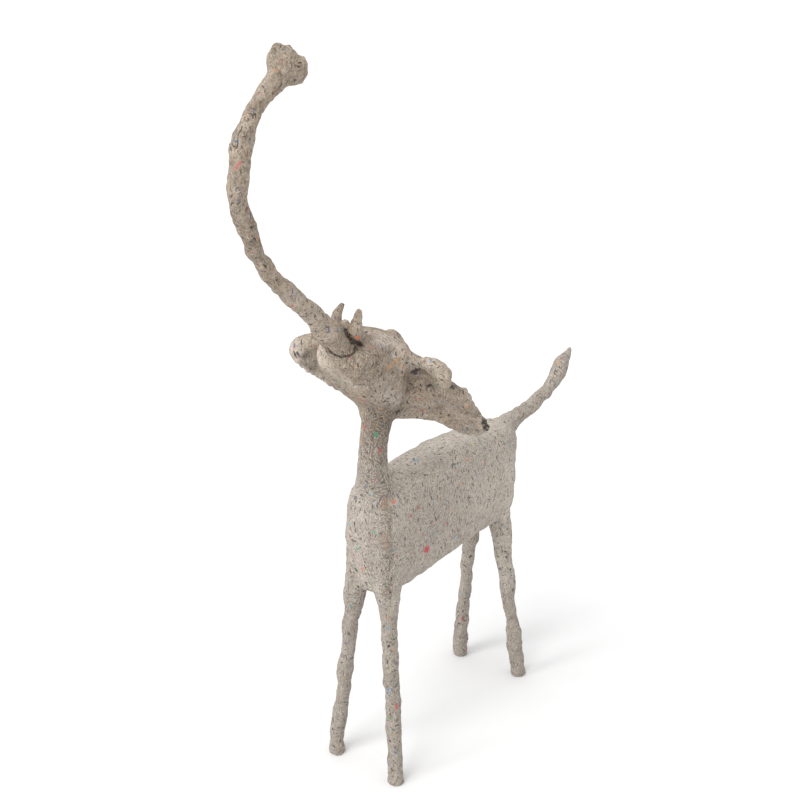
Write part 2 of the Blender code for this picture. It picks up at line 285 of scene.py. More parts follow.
def tapered_tube(mesh, route):
    """Adds a closed tube to a bmesh. Each place of the route also holds a radius, in mm."""
    way = (Vector(route[-1][:3]) - Vector(route[0][:3])).normalized()
    side = way.cross(Vector((1, 0, 0))).normalized()
    other = way.cross(side)
    rings = []
    for *place, radius in route:
        ring = []
        for number in range(TUBE_SIDES):
            turn = 2 * math.pi * number / TUBE_SIDES
            outward = math.cos(turn) * side + math.sin(turn) * other
            ring.append(mesh.verts.new(spot(*(Vector(place) + radius * outward))))
        rings.append(ring)
    for low, high in zip(rings[:-1], rings[1:]):
        for number in range(TUBE_SIDES):
            after = (number + 1) % TUBE_SIDES
            mesh.faces.new((low[number], low[after], high[after], high[number]))
    mesh.faces.new(rings[0][::-1])
    mesh.faces.new(rings[-1])


tusks = bmesh.new()
for route in (NEAR_TUSK, FAR_TUSK):
    tapered_tube(tusks, route)
bmesh.ops.recalc_face_normals(tusks, faces=tusks.faces)
tusk_mesh = bpy.data.meshes.new("tusks")
tusks.to_mesh(tusk_mesh)
tusks.free()
print("The tusks' coats have", len(tusk_mesh.polygons), "faces")

# %% [markdown]
# ## One soft skin
#
# The CAD solid shows flat facets, while pulp has none. A voxel remesh turns the solid, the crumbs and the
# tusks' coats into one even net with a point every millimetre or so. Rounds of smoothing then melt the
# facets. Plain smoothing would thin the legs, so each step inwards is followed by a slightly larger step
# outwards. The tusks are held nearly still, or they would lose their points.

# %% Melt the solid, the crumbs and the coats together
VOXEL = 1.35 * MM
SAME_POINT = 0.01 * MM  # points closer than this are joined

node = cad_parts["elephant"]
shell = bmesh.new()
shell.from_mesh(node.data)
bmesh.ops.remove_doubles(shell, verts=shell.verts, dist=SAME_POINT)
for coat in (near_crumbs, tusk_mesh):
    shell.from_mesh(coat)
skin_mesh = bpy.data.meshes.new("elephant_pulp")
shell.to_mesh(skin_mesh)
shell.free()
skin = bpy.data.objects.new("elephant_pulp", skin_mesh)
bpy.context.collection.objects.link(skin)


def remade(thing, kind, **settings):
    """Runs one modifier and gives the thing the mesh that it makes."""
    modifier = thing.modifiers.new(kind, kind)
    for name, value in settings.items():
        setattr(modifier, name, value)
    ready = thing.evaluated_get(bpy.context.evaluated_depsgraph_get())
    mesh = bpy.data.meshes.new_from_object(ready)
    thing.modifiers.remove(modifier)
    thing.data = mesh
    mesh.name = thing.name


remade(skin, "REMESH", mode="VOXEL", voxel_size=VOXEL, adaptivity=0)
print("The even skin has", len(skin.data.vertices), "points")

# %% Smooth the facets away without thinning the legs
ROUNDS, STEP_IN, STEP_OUT = 30, 0.63, -0.67
TUSK_REACH, TUSK_HOLD = 14, 0.75
HAIR = 1e-4


def points_of(mesh):
    flat = np.empty(3 * len(mesh.vertices), np.float32)
    mesh.vertices.foreach_get("co", flat)
    return flat.reshape(-1, 3).astype(float)


def move_points(mesh, points):
    mesh.vertices.foreach_set("co", points.astype(np.float32).ravel())
    mesh.update()


def statue_places(mesh):
    """Each point of a mesh as a place on the statue in mm, the other way round from spot."""
    return points_of(mesh) / MM - np.array(MIDDLE)


def drawn(route):
    """The places of a line. A lone place is doubled, and each is lifted by a hair, so that no part has no length."""
    line = route if len(route) > 1 else route * 2
    return [np.add(place, (0, 0, HAIR * number)) for number, place in enumerate(line)]


def distance_to(points, route):
    """How far each point lies from a line through the places of a route."""
    nearest = np.full(len(points), np.inf)
    for start, end in zip(route[:-1], route[1:]):
        start, end = np.array(start, float), np.array(end, float)
        way = end - start
        share = np.clip((points - start) @ way / (way @ way), 0, 1)
        nearest = np.minimum(nearest, np.linalg.norm(points - start - share[:, None] * way, axis=1))
    return nearest


def fading(distance, reach):
    """One on the line, and down to nothing at the reach, with soft ends."""
    share = np.clip(1 - distance / reach, 0, 1)
    return share * share * (3 - 2 * share)


def neighbour_mean(points, edges, count):
    total = np.zeros_like(points)
    for axis in range(3):
        total[:, axis] = (np.bincount(edges[:, 0], points[edges[:, 1], axis], len(points))
                          + np.bincount(edges[:, 1], points[edges[:, 0], axis], len(points)))
    return total / count[:, None]


def soften(mesh, rounds, yielding):
    edges = np.empty(2 * len(mesh.edges), np.int32)
    mesh.edges.foreach_get("vertices", edges)
    edges = edges.reshape(-1, 2)
    points = points_of(mesh)
    count = np.bincount(edges.ravel(), minlength=len(points))
    for _ in range(rounds):
        for step in (STEP_IN, STEP_OUT):
            points += step * yielding[:, None] * (neighbour_mean(points, edges, count) - points)
    move_points(mesh, points)


firm = np.zeros(len(skin.data.vertices))
for route in (NEAR_TUSK, FAR_TUSK):
    tusk_line = [place[:3] for place in route]
    firm = np.maximum(firm, fading(distance_to(statue_places(skin.data), tusk_line), TUSK_REACH))
soften(skin.data, ROUNDS, 1 - TUSK_HOLD * firm)
print("The smoothed skin is", [round(1000 * side, 1) for side in np.ptp(points_of(skin.data), axis=0)], "mm")

# %% [markdown]
# ## Creases that the maker's fingers left
#
# The mouth is a curved crease under the root of the trunk, a gap parts the near tusk from the trunk, the
# near ear has a pit and a slit beside it, and the tip of the trunk is a knob of folded pulp. Each is drawn
# as a short line over the surface. Points near the line are pressed in or raised along their normals, most
# on the line and less further off. The brow, the chest's corner and the rump are filled out the same way.

# %% Press and raise the skin along short lines
def raise_along(mesh, marks):
    """Moves the skin outwards by each mark's height in mm, and inwards where it is negative."""
    points = statue_places(mesh)
    normals = np.empty(3 * len(points), np.float32)
    mesh.vertex_normals.foreach_get("vector", normals)
    height = np.zeros(len(points))
    for reach, tall, *route in marks:
        height += tall * fading(distance_to(points, drawn(route)), reach)
    points += normals.reshape(-1, 3) * height[:, None]
    move_points(mesh, (points + np.array(MIDDLE)) * MM)


MOUTH = ((1, -54, 496), (-1, -48, 490), (3, -47, 488), (7, -44, 487), (13, -42, 488), (17, -39, 490),
         (18, -36, 493), (17, -33, 496))
TUSK_GAP = ((11, -39, 512), (13, -38, 506), (15, -35, 501), (19, -28, 497))
TRUNK_CRACK = ((2, -157, 709), (2, -162, 702), (3, -166, 693))
KNOB_FOLD = ((7, -113, 747), (9, -112, 744), (9, -115, 738), (8, -123, 731))
HEAD_AND_BODY_MARKS = (
    # reach, height, places
    (2.2, -2.2, *MOUTH),
    (2.8, -3.8, *TUSK_GAP),
    (10.0, 3.6, (16, 26, 494), (26, 22, 492), (32, 20, 486), (34, 22, 479)),
    (7.0, 2.0, (81, 28, 467)),
    (6.0, -2.0, (43, 34, 456), (46, 34, 459), (56, 31, 462)),
    (2.2, -1.0, (-5, -26, 452), (11, -26, 451), (14, -22, 445)),
    (3.0, -0.9, (23, -5, 499), (28, 0, 495), (33, 10, 488), (33, 23, 479)),
    (7.0, -3.0, (32, 34, 438), (41, 34, 454), (48, 34, 459)),
    (7.0, 1.7, (17, 9, 342), (19, 8, 324), (24, 3, 306), (25, 2, 278), (26, 4, 256)),
    (13.0, 3.5, (18, 1, 221), (20, 1, 214)),
    (34.0, 3.6, (-8, 255, 328), (10, 258, 325)),
    (14.0, 3.0, (31, 18, 229)),
    (2.2, -1.4, (44, 40, 441), (54, 39, 444)),
    (4.0, -1.8, (50, 34, 458), (58, 32, 457), (68, 33, 455), (76, 34, 451)),
    (9.0, 2.0, (36, 5, 461)),
    (8.0, 1.2, (-17, -43, 479), (-23, -26, 455), (-4, -27, 452)),
    (4.0, -1.1, (-3, -46, 482), (3, -45, 476), (8, -38, 465), (11, -32, 458)),
    (2.2, -1.2, (20, 21, 413), (22, 29, 412), (26, 36, 406)),
    (5.0, 2.5, (8, -2, 503)),
    (2.6, -1.8, (10, -7, 502)),
)
TRUNK_MARKS = (
    (6.5, 3.2, (10, -89, 756), (11, -88, 753)),
    (2.0, -1.3, *TRUNK_CRACK),
    (1.8, -1.6, *KNOB_FOLD),
    (2.4, -1.2, (1, -116, 755), (8, -110, 761), (9, -96, 762)),
    (2.6, -1.2, (1, -147, 722), (-1, -141, 726), (1, -137, 729)),
)
raise_along(skin.data, HEAD_AND_BODY_MARKS + TRUNK_MARKS)
print("Marks pressed into the skin or raised from it:", len(HEAD_AND_BODY_MARKS) + len(TRUNK_MARKS))

# %% [markdown]
# ## Dents, lumps, folds and grain
#
# Fingers dent rolled pulp about every two centimetres, torn paper leaves lumps of half a centimetre, thin
# folds run between them, and the dried pulp itself is grainy. These repeat over the whole statue, so a tree
# makes them: three noises, each with its own size and height, and the thin folds where a fourth one crosses
# its middle, push every point along its normal. The flanks were patted flat, so they are less rough, and the
# relief fades out at the soles, which stand flat.

# %% Say how rough each part of the skin is
def store(mesh, name, values):
    """Keeps one number from 0 to 1 for each point of a mesh, for the node trees to read."""
    layer = mesh.attributes.new(name, "FLOAT", "POINT")
    layer.data.foreach_set("value", np.clip(values, 0, 1).astype(np.float32))


def painted(places, marks, softer=1.0):
    """The strongest of the marks at each point of the skin, fading out over the reach of each."""
    value = np.zeros(len(places))
    for reach, strength, *route in marks:
        value = np.maximum(value, strength * fading(distance_to(places, drawn(route)), softer * reach))
    return value


FLANK_ROUGHNESS = 0.35
ROUGH_SPREAD = 1.3
ROUGH_PARTS = (
    # reach, strength, places
    (40, 1.0, (0, -100, 750), (0, -160, 690), (0, -150, 600), (0, -100, 545), (6, -55, 515)),
    (40, 0.6, (40, 0, 0), (22, 0, 225)), (40, 0.6, (-40, 0, 0), (-22, 0, 225)), (45, 0.8, (0, 0, 235)),
    (40, 0.6, (44, 256, 0), (25, 250, 200)), (40, 0.6, (-44, 256, 0), (-25, 250, 200)),
    (40, 0.6, (20, 0, 460), (70, 50, 430)), (40, 0.45, (10, 273, 323), (5, 347, 332), (7, 401, 363)),
)
places = statue_places(skin.data)
store(skin.data, "rough", FLANK_ROUGHNESS + (1 - FLANK_ROUGHNESS) * painted(places, ROUGH_PARTS, ROUGH_SPREAD))
print("The limbs and the trunk are the roughest parts")

# %% Build the tree that roughens the skin
NOISE_SHIFT = 7.0  # keeps the noises apart from each other
FOLD_SHARPNESS = 14.0


def relief_tree():
    tree, given, result = new_group("pulp relief", "GeometryNodeTree", {
        "Skin": ("Geometry", None), "Dent Spacing": ("Float", 0.019), "Dent Depth": ("Float", 0.0018),
        "Lump Size": ("Float", 0.0085), "Lump Height": ("Float", 0.0013),
        "Grain Size": ("Float", 0.0030), "Grain Height": ("Float", 0.0003),
        "Fold Spacing": ("Float", 0.017), "Fold Depth": ("Float", 0.0008),
        "Flat Sole": ("Float", 0.004), "Seed": ("Float", 3.0), "Finish": ("Material", None)},
        {"Rough Skin": "Geometry"})
    place = add(tree, "GeometryNodeInputPosition", {})
    height = None
    for number, (size, tall, detail) in enumerate((("Dent Spacing", "Dent Depth", 1.0),
                                                   ("Lump Size", "Lump Height", 1.5),
                                                   ("Grain Size", "Grain Height", 2.0))):
        noise = add(tree, "ShaderNodeTexNoise", {
            "Vector": place, "W": maths(tree, "ADD", given["Seed"], NOISE_SHIFT * number),
            "Scale": maths(tree, "DIVIDE", 1.0, given[size]), "Detail": detail}, "Fac", noise_dimensions="4D")
        swing = maths(tree, "MULTIPLY", maths(tree, "SUBTRACT", noise, 0.5), 2.0)
        push = maths(tree, "MULTIPLY", swing, given[tall])
        height = push if height is None else maths(tree, "ADD", height, push)
    line = add(tree, "ShaderNodeTexNoise", {
        "Vector": place, "W": given["Seed"], "Scale": maths(tree, "DIVIDE", 1.0, given["Fold Spacing"]),
        "Detail": 1.0, "Distortion": 0.4}, "Fac", noise_dimensions="4D")
    off_line = maths(tree, "ABSOLUTE", maths(tree, "SUBTRACT", line, 0.5))
    off_line = maths(tree, "MULTIPLY", off_line, FOLD_SHARPNESS, clamp=True)
    fold = maths(tree, "MULTIPLY", maths(tree, "SUBTRACT", off_line, 1.0), given["Fold Depth"])
    rough = add(tree, "GeometryNodeInputNamedAttribute", {"Name": "rough"}, data_type="FLOAT")
    height = maths(tree, "MULTIPLY", maths(tree, "ADD", height, fold), rough)
    up = add(tree, "ShaderNodeSeparateXYZ", {"Vector": place}, "Z")
    free = maths(tree, "DIVIDE", up, given["Flat Sole"], clamp=True)
    push = vectors(tree, "SCALE", add(tree, "GeometryNodeInputNormal", {}))
    tree.links.new(maths(tree, "MULTIPLY", height, free), push.node.inputs["Scale"])
    moved = add(tree, "GeometryNodeSetPosition", {"Geometry": given["Skin"], "Offset": push})
    real = add(tree, "GeometryNodeRealizeInstances", {"Geometry": moved})
    finished = add(tree, "GeometryNodeSetMaterial", {"Geometry": real, "Material": given["Finish"]})
    tree.links.new(finished, result["Rough Skin"])
    return tree


RELIEF_TREE = relief_tree()
rough = grown(skin, RELIEF_TREE, {"Finish": pulp})
skin.data = rough
rough.name = "elephant_pulp"
print("The rough skin has", len(rough.polygons), "faces")

# %% [markdown]
# The relief may not reach past the CAD solid's box, so the few points that do are set back onto it. The
# net is then thinned where it is flat, which keeps the creases and brings the piece under the limit.

# %% Keep the skin inside the box and thin its net
SKIN_TRIANGLES = 192_000


def keep_inside(mesh):
    """Sets the points that are past the CAD box back onto it, and says how many they were."""
    points = points_of(mesh)
    kept = np.clip(points, np.array(cad_low), np.array(cad_high))
    move_points(mesh, kept)
    return int((kept != points).any(axis=1).sum())


print("Points set back onto the box:", keep_inside(skin.data))
remade(skin, "TRIANGULATE")
remade(skin, "DECIMATE", ratio=SKIN_TRIANGLES / len(skin.data.polygons))
keep_inside(skin.data)
skin.data.shade_smooth()
print("The finished skin has", len(skin.data.polygons), "triangles")

# %% [markdown]
# ## Where the pulp is warmer and sooty, and where light and shade are painted
#
# The head, the trunk and the neck were made of a browner pulp than the body. The cheek, the brow, the back and the
# rims of the ears are paler, partly paler pulp and partly painted light where light falls on them. The neck and the
# legs are darker with painted shade, and so are the head's underside and the ear's fold, while the chest's corner is
# darker, browner pulp. Handling left dark spots, most of them beside the ear, and the same soot also holds painted
# shade in the ear's pit and along the creases. Such changes follow the statue and not a rule, so they are stored as
# five numbers on every point of the skin, which the material reads later: warmth, soot with the creases' painted
# shade, pale, dark, and how calm the fibres are.

# %% Store warmth, soot with painted crease shade, pale with painted light, dark with painted shade, and calm on the skin
# Each table but the rings gives the reach, the strength and the places of its marks.
# Soot: dark spots that handling left, plus painted shade in the ear's pit and slit and along the mouth, the tusk
# gap, the trunk's crack and the knob's fold.
SOOT_AND_CREASE_SHADE = (
    (5.0, 1.0, (38, 33, 456), (45, 33, 459)), (4.5, 0.95, (33, 34, 441), (31, 32, 437)),
    (3, 0.7, (83, 47, 436), (86, 60, 421)),
    (2.2, 1.0, (48, 40, 442), (53, 39, 445)), (4.5, 0.35, (36, 33, 448)),
    (5, 1.0, (91, 77, 405), (92, 80, 399), (90, 84, 394)), (2.2, 0.8, (78, 44, 441)), (2.6, 0.8, (55, 54, 411)),
    (2.4, 0.9, (22, 22, 415), (23, 28, 415)), (3, 0.9, (15, -18, 441)), (2.0, 1.0, (9, -6, 502)),
    (8, 0.4, (21, 5, 319), (22, 12, 300)), (4, 0.3, (24, 3, 300), (25, 2, 270)),
    (5, 0.4, (9, -163, 669), (9, -162, 655)), (4, 0.55, (9, -158, 631), (7, -155, 616)),
    (3, 0.7, (12, -95, 752)), (5, 0.4, (23, 2, 241)), (5, 0.35, (-12, 6, 245), (-16, -2, 205)),
    (1.7, 0.8, *TUSK_GAP), (2.0, 0.8, (1, -54, 496), (-1, -49, 491)),
    (1.5, 0.45, (3, -51, 494), (2, -45, 481), (8, -44, 474), (14, -42, 472), (14, -36, 463)),
    (1.3, 0.7, *TRUNK_CRACK), (1.3, 0.7, *KNOB_FOLD),
)
SOOT_RINGS = (
    # middle, radius, width, strength
    ((-15, -2, 240), 3.6, 1.3, 0.9), ((-10, -2, 211), 3.2, 1.2, 0.8), ((33, 49, 283), 3.0, 1.0, 0.5),
    ((12, -95, 752), 2.4, 1.2, 0.8),
)
# Painted light: paler where light falls on the cheek, the brow, the back, the trunk's top, the ear's upper lobe, the
# far ear's rim, the flank and the rump's corner, and partly paler pulp.
PAINTED_LIGHT_AND_PALE_PULP = (
    (18, 0.62, (-23, -39, 485), (-14, -44, 478), (-8, -43, 470), (0, -38, 463), (8, -31, 456), (16, -28, 453)),
    (15, 0.55, (62, 27, 474), (76, 30, 462)), (34, 0.3, (0, -72, 526), (4, -105, 549)), (70, 0.4, (40, 185, 272)),
    (20, 0.9, (-82, -2, 466), (-79, 2, 455), (-84, 14, 445), (-82, 21, 436), (-86, 42, 420)),
    (14, 0.7, (34, 8, 481), (34, 21, 480), (36, 14, 468), (43, 28, 467)),
    (34, 0.6, (31, 231, 280), (31, 240, 215), (31, 237, 140)), (30, 0.5, (-10, 110, 338), (17, 129, 338)),
    (20, 0.85, (15, 20, 352), (9, 42, 340), (0, 64, 336)), (22, 0.5, (33, -10, 450), (31, 2, 440), (31, 12, 431)),
    (8, 0.8, (27, 14, 486), (33, 29, 477), (48, 27, 473), (64, 21, 473)),
    (13, 0.7, (12, -4, 501), (18, 4, 500), (26, 9, 496), (27, -8, 497), (32, 5, 491), (34, 13, 482)),
    (40, 1.0, (-10, 42, 352), (-4, 140, 350)), (38, 0.7, (0, 130, 347), (0, 270, 347)),
)
# Painted shade: darker on the neck under the head, the head's underside, under the ear and in its fold, between the
# front legs and on the legs. The chest's corner is partly browner pulp, and the trunk, the flank and the tail are
# darkened a little too.
PAINTED_SHADE_AND_DARK_PULP = (
    (36, 1.35, (16, 5, 345), (16, 8, 377), (16, 9, 412)), (38, 0.95, (20, -24, 478), (20, -16, 466)),
    (16, 0.5, (-18, -2, 241), (-16, -5, 215), (-20, -6, 195)), (14, 0.45, (9, 0, 246), (12, 2, 218)),
    (16, 0.5, (8, 2, 360), (10, 2, 346), (11, 1, 304), (11, 0, 260), (10, 0, 235)),
    (34, 0.12, (60, 55, 425), (45, 50, 420)), (11, 0.5, (36, 34, 448), (34, 33, 440), (52, 38, 443)),
    (14, 1.1, (17, 9, 338), (19, 8, 324), (24, 3, 306), (25, 2, 278), (26, 4, 250), (26, 4, 225)),
    (30, 0.45, (40, 0, 0), (30, 0, 190)), (30, 0.4, (-40, 0, 0), (-28, 0, 190)),
    (40, 0.4, (44, 256, 0), (30, 250, 205)), (40, 0.35, (-44, 256, 0), (-30, 250, 205)),
    (60, 0.12, (40, 50, 270), (40, 90, 300)), (30, 0.25, (0, -150, 600), (0, -160, 690)),
    (50, 0.5, (10, 285, 323), (5, 347, 332), (7, 401, 363)),
)
CALM_PARTS = (
    (50, 0.5, (0, 0, 310), (0, 0, 260)),
    (60, 0.8, (40, 0, 0), (28, 0, 190)), (60, 0.8, (-40, 0, 0), (-28, 0, 190)),
    (60, 0.8, (44, 256, 0), (30, 250, 190)), (60, 0.8, (-44, 256, 0), (-30, 250, 190)),
    (80, 0.75, (0, -100, 750), (0, -160, 690), (0, -150, 600), (0, -100, 545), (6, -55, 515)),
)
WARM_ABOVE, WARM_BEFORE, WARM_FADE = 345, 150, 60  # from the foot of the neck up, and not on the rump or tail
SOOT_AND_SHADE_SPREAD = 1.5
LEAST_CALM, WARM_CALM = 0.15, 0.45

places = statue_places(skin.data)
high_up = np.clip((places[:, 2] - WARM_ABOVE) / WARM_FADE, 0, 1)
far_forward = np.clip((WARM_BEFORE - places[:, 1]) / WARM_FADE, 0, 1)
rising = high_up * far_forward
store(skin.data, "warmth", rising * rising * (3 - 2 * rising))
soot_and_crease_shade = painted(places, SOOT_AND_CREASE_SHADE, SOOT_AND_SHADE_SPREAD)
for middle, radius, width, dark in SOOT_RINGS:
    off_ring = np.abs(np.linalg.norm(places - np.array(middle), axis=1) - radius)
    soot_and_crease_shade = np.maximum(soot_and_crease_shade, dark * fading(off_ring, width))
store(skin.data, "soot_and_crease_shade", soot_and_crease_shade)
store(skin.data, "pale", painted(places, PAINTED_LIGHT_AND_PALE_PULP))
store(skin.data, "dark", painted(places, PAINTED_SHADE_AND_DARK_PULP))
store(skin.data, "calm", np.maximum(LEAST_CALM + WARM_CALM * rising, painted(places, CALM_PARTS)))
print("Sooty points:", int((soot_and_crease_shade > 0.1).sum()), "of", len(soot_and_crease_shade))

# %% [markdown]
# ## The pulp material
#
# Close up, pulp is a felt of pale and grey fibres a millimetre or two long, with darker threads and torn
# bits of coloured paper in it. A Voronoi texture gives each small cell of space a middle and a random
# colour. Measuring from that middle along a random direction over the surface draws one short fibre per cell.
# The effect is used many times with other sizes, so it is a node group that gives a mask and a random pick.

# %% Make the group that draws fibres
SMOOTH = {"interpolation_type": "SMOOTHSTEP"}
FIRM_SHARE = 0.55  # the share of a mark's half size that is inside its soft edge
HALF_GREY = (0.5, 0.5, 0.5)


def flattened(tree, way, facing):
    """The part of a direction that lies in the surface."""
    lift = vectors(tree, "DOT_PRODUCT", way, facing, out="Value")
    up = vectors(tree, "SCALE", facing)
    tree.links.new(lift, up.node.inputs["Scale"])
    return vectors(tree, "SUBTRACT", way, up)


def inside(tree, distance, half):
    """One within half the size, and nothing past it, with a soft edge."""
    return add(tree, "ShaderNodeMapRange", {
        "Value": maths(tree, "ABSOLUTE", distance), "From Min": maths(tree, "MULTIPLY", half, FIRM_SHARE),
        "From Max": half, "To Min": 1.0, "To Max": 0.0}, **SMOOTH)


def fibre_group():
    tree, given, result = new_group("paper fibres", "ShaderNodeTree", {
        "Place": ("Vector", None), "Facing": ("Vector", None), "Cell": ("Float", 2.0), "Length": ("Float", 2.0),
        "Width": ("Float", 0.5), "Bend": ("Float", 0.2), "Share": ("Float", 0.5), "Shift": ("Float", 0.0),
        "Flow": ("Vector", None)}, {"Mask": "Float", "Pick": "Float"})
    place = vectors(tree, "ADD", given["Place"], given["Shift"])
    cells = add(tree, "ShaderNodeTexVoronoi", {
        "Vector": place, "Scale": maths(tree, "DIVIDE", 1.0, given["Cell"])}, "Position")
    chance = cells.node.outputs["Color"]
    parts = add(tree, "ShaderNodeSeparateColor", {"Color": chance}).node.outputs
    away = flattened(tree, vectors(tree, "SUBTRACT", place, cells), given["Facing"])
    lie = vectors(tree, "ADD", vectors(tree, "SUBTRACT", chance, HALF_GREY), given["Flow"])
    way = vectors(tree, "NORMALIZE", flattened(tree, lie, given["Facing"]))
    side = vectors(tree, "CROSS_PRODUCT", given["Facing"], way)
    along = vectors(tree, "DOT_PRODUCT", away, way, out="Value")
    bow = maths(tree, "MULTIPLY", maths(tree, "MULTIPLY", along, along), given["Bend"])
    across = maths(tree, "ADD", vectors(tree, "DOT_PRODUCT", away, side, out="Value"), bow)
    half = maths(tree, "MULTIPLY", given["Length"], maths(tree, "MULTIPLY_ADD", parts["Blue"], 0.5, 0.2))
    shape = maths(tree, "MULTIPLY", inside(tree, along, half),
                  inside(tree, across, maths(tree, "MULTIPLY", given["Width"], 0.5)))
    chosen = maths(tree, "LESS_THAN", parts["Red"], given["Share"])
    faint = maths(tree, "MULTIPLY", chosen, maths(tree, "MULTIPLY_ADD", parts["Blue"], 0.7, 0.3))
    tree.links.new(maths(tree, "MULTIPLY", shape, faint), result["Mask"])
    tree.links.new(parts["Green"], result["Pick"])
    return tree


FIBRES = fibre_group()
print("The fibre group has", len(FIBRES.nodes), "nodes")

# %% [markdown]
# Some bits of coloured paper are large enough to know by their place, such as the red one low on the flank.
# A second group draws one such bit: a small ragged patch round a given place, turned along a given way.

# %% Make the group that draws one placed fleck
HALF_SIZE = 0.56  # a little over a half, as the soft edge takes some away
NEAR_BY = 4.0  # how far past its length a fleck may show, so that it stays on its own side of a thin part


def fleck_group():
    tree, given, result = new_group("placed fleck", "ShaderNodeTree", {
        "Place": ("Vector", None), "Facing": ("Vector", None), "Ragged": ("Float", None),
        "Middle": ("Vector", None), "Long Way": ("Vector", None), "Length": ("Float", 3.0),
        "Width": ("Float", 2.0)}, {"Mask": "Float"})
    away = vectors(tree, "SUBTRACT", given["Place"], given["Middle"])
    way = vectors(tree, "NORMALIZE", flattened(tree, given["Long Way"], given["Facing"]))
    side = vectors(tree, "CROSS_PRODUCT", given["Facing"], way)
    masks = []
    for direction, size in ((way, "Length"), (side, "Width")):
        reach = maths(tree, "ADD", vectors(tree, "DOT_PRODUCT", away, direction, out="Value"), given["Ragged"])
        masks.append(inside(tree, reach, maths(tree, "MULTIPLY", given[size], HALF_SIZE)))
    near = maths(tree, "LESS_THAN", vectors(tree, "LENGTH", away, out="Value"),
                 maths(tree, "ADD", given["Length"], NEAR_BY))
    tree.links.new(maths(tree, "MULTIPLY", maths(tree, "MULTIPLY", *masks), near), result["Mask"])
    return tree


FLECK = fleck_group()
print("The fleck group has", len(FLECK.nodes), "nodes")

# %% [markdown]
# The material reads Object coordinates, which stay with the statue, and turns them to millimetres. It starts
# from a cloudy mix of pale and mid-grey pulp, and changes that where the skin's stored numbers say that it is
# warm, where it is paler with painted light and paler pulp, and where it is darker with painted shade and darker
# pulp. It then lays pale and dark fibres over it, scatters flecks of coloured paper, adds the soot with the painted
# shade in the ear's pit and the creases, and last puts the creases' painted shadows, the larger flecks and the
# stains at their own places.

# %% Ready the material's helpers
SCREEN_CURVE = 2.2
LIT = 1.15  # how much brighter the light makes a colour


def colour(red, green, blue):
    """A colour as seen on a screen, 0 to 255, turned into the pulp's own linear colour."""
    return tuple((value / 255) ** SCREEN_CURVE / LIT for value in (red, green, blue)) + (1.0,)


tree = pulp.node_tree
shader = tree.nodes["Principled BSDF"]
place = vectors(tree, "SCALE", add(tree, "ShaderNodeTexCoord", {}, "Object"))
place.node.inputs["Scale"].default_value = 1000
facing = add(tree, "ShaderNodeNewGeometry", {}, "Normal")


def noise(size, detail=2.0, coarseness=0.5, shift=0.0, twist=0.0):
    """Cloudy values from 0 to 1 whose clouds are about as large as the size in mm."""
    return add(tree, "ShaderNodeTexNoise", {
        "Vector": place, "W": shift, "Scale": 1 / size, "Detail": detail, "Roughness": coarseness,
        "Distortion": twist}, "Fac", noise_dimensions="4D")


def noise_way(size, detail):
    """A direction that changes from place to place, over about the size in mm."""
    picked = add(tree, "ShaderNodeTexNoise", {"Vector": place, "Scale": 1 / size, "Detail": detail}, "Color")
    return vectors(tree, "SUBTRACT", picked, HALF_GREY)


def spread(value, low, high, bottom=0.0, top=1.0):
    """A value between low and high, spread over bottom to top."""
    return add(tree, "ShaderNodeMapRange", {"Value": value, "From Min": low, "From Max": high,
                                            "To Min": bottom, "To Max": top})


def mix(share, below, above, blend="MIX"):
    return add(tree, "ShaderNodeMix", {0: share, 6: below, 7: above}, 2, data_type="RGBA", blend_type=blend)


def stored(name):
    """A number that the skin holds for each of its points."""
    return add(tree, "ShaderNodeAttribute", {}, "Fac", attribute_name=name)


print("The material's helpers are ready")

# %% Start the material with cloudy grey pulp
PALE, MID = (0.44, 0.39, 0.335, 1), (0.265, 0.232, 0.197, 1)
CLOUD, PATCH = (0.24, 0.212, 0.183, 1), (0.53, 0.475, 0.41, 1)
WARM, WARM_SHARE, WARM_TINT = (0.36, 0.318, 0.275, 1), 0.6, (0.925, 0.865, 0.795, 1)
# PALER is mixed in as painted light and partly paler pulp, and DARKER multiplies in painted shade and partly darker
# pulp.
PALER, DARKER = (0.72, 0.65, 0.57, 1), (0.50, 0.475, 0.45, 1)
WARM_CLOUDS = (
    # size, detail, coarseness, shift, twist, low, high, strength, colour that multiplies
    (4.0, 2.0, 0.60, 41.0, 1.3, 0.40, 0.68, 0.75, (0.60, 0.56, 0.50, 1)),
    (10, 3.0, 0.60, 47.0, 0.0, 0.44, 0.68, 0.80, (0.60, 0.54, 0.46, 1)),
    (17, 2.0, 0.55, 53.0, 0.0, 0.44, 0.66, 0.80, (1.42, 1.40, 1.36, 1)),
)
grain = noise(1.9, 3.0, 0.65)
clouds = noise(22, 3.0, 0.55, 5.0)
patches = noise(6, 2.0, 0.5, 9.0)
mottled = noise(4.5, 3.0, 0.6, 61.0)
warmth, calm = stored("warmth"), stored("calm")

skin_colour = mix(spread(grain, 0.36, 0.64), MID, PALE)
skin_colour = mix(spread(clouds, 0.35, 0.7, 0.0, 0.35), skin_colour, CLOUD)
skin_colour = mix(spread(patches, 0.45, 0.75, 0.0, 0.4), skin_colour, PATCH)
skin_colour = mix(maths(tree, "MULTIPLY", warmth, WARM_SHARE), skin_colour, WARM)
for size, detail, coarseness, shift, twist, low, high, strength, tone in WARM_CLOUDS:
    cloud = spread(noise(size, detail, coarseness, shift, twist), low, high, 0.0, strength)
    skin_colour = mix(maths(tree, "MULTIPLY", warmth, cloud), skin_colour, tone, "MULTIPLY")
skin_colour = mix(warmth, skin_colour, WARM_TINT, "MULTIPLY")
# Painted light: the stored pale number makes the skin paler where light falls, partly as paler pulp.
pale = maths(tree, "MULTIPLY", stored("pale"), spread(mottled, 0.35, 0.62, 0.20, 0.85))
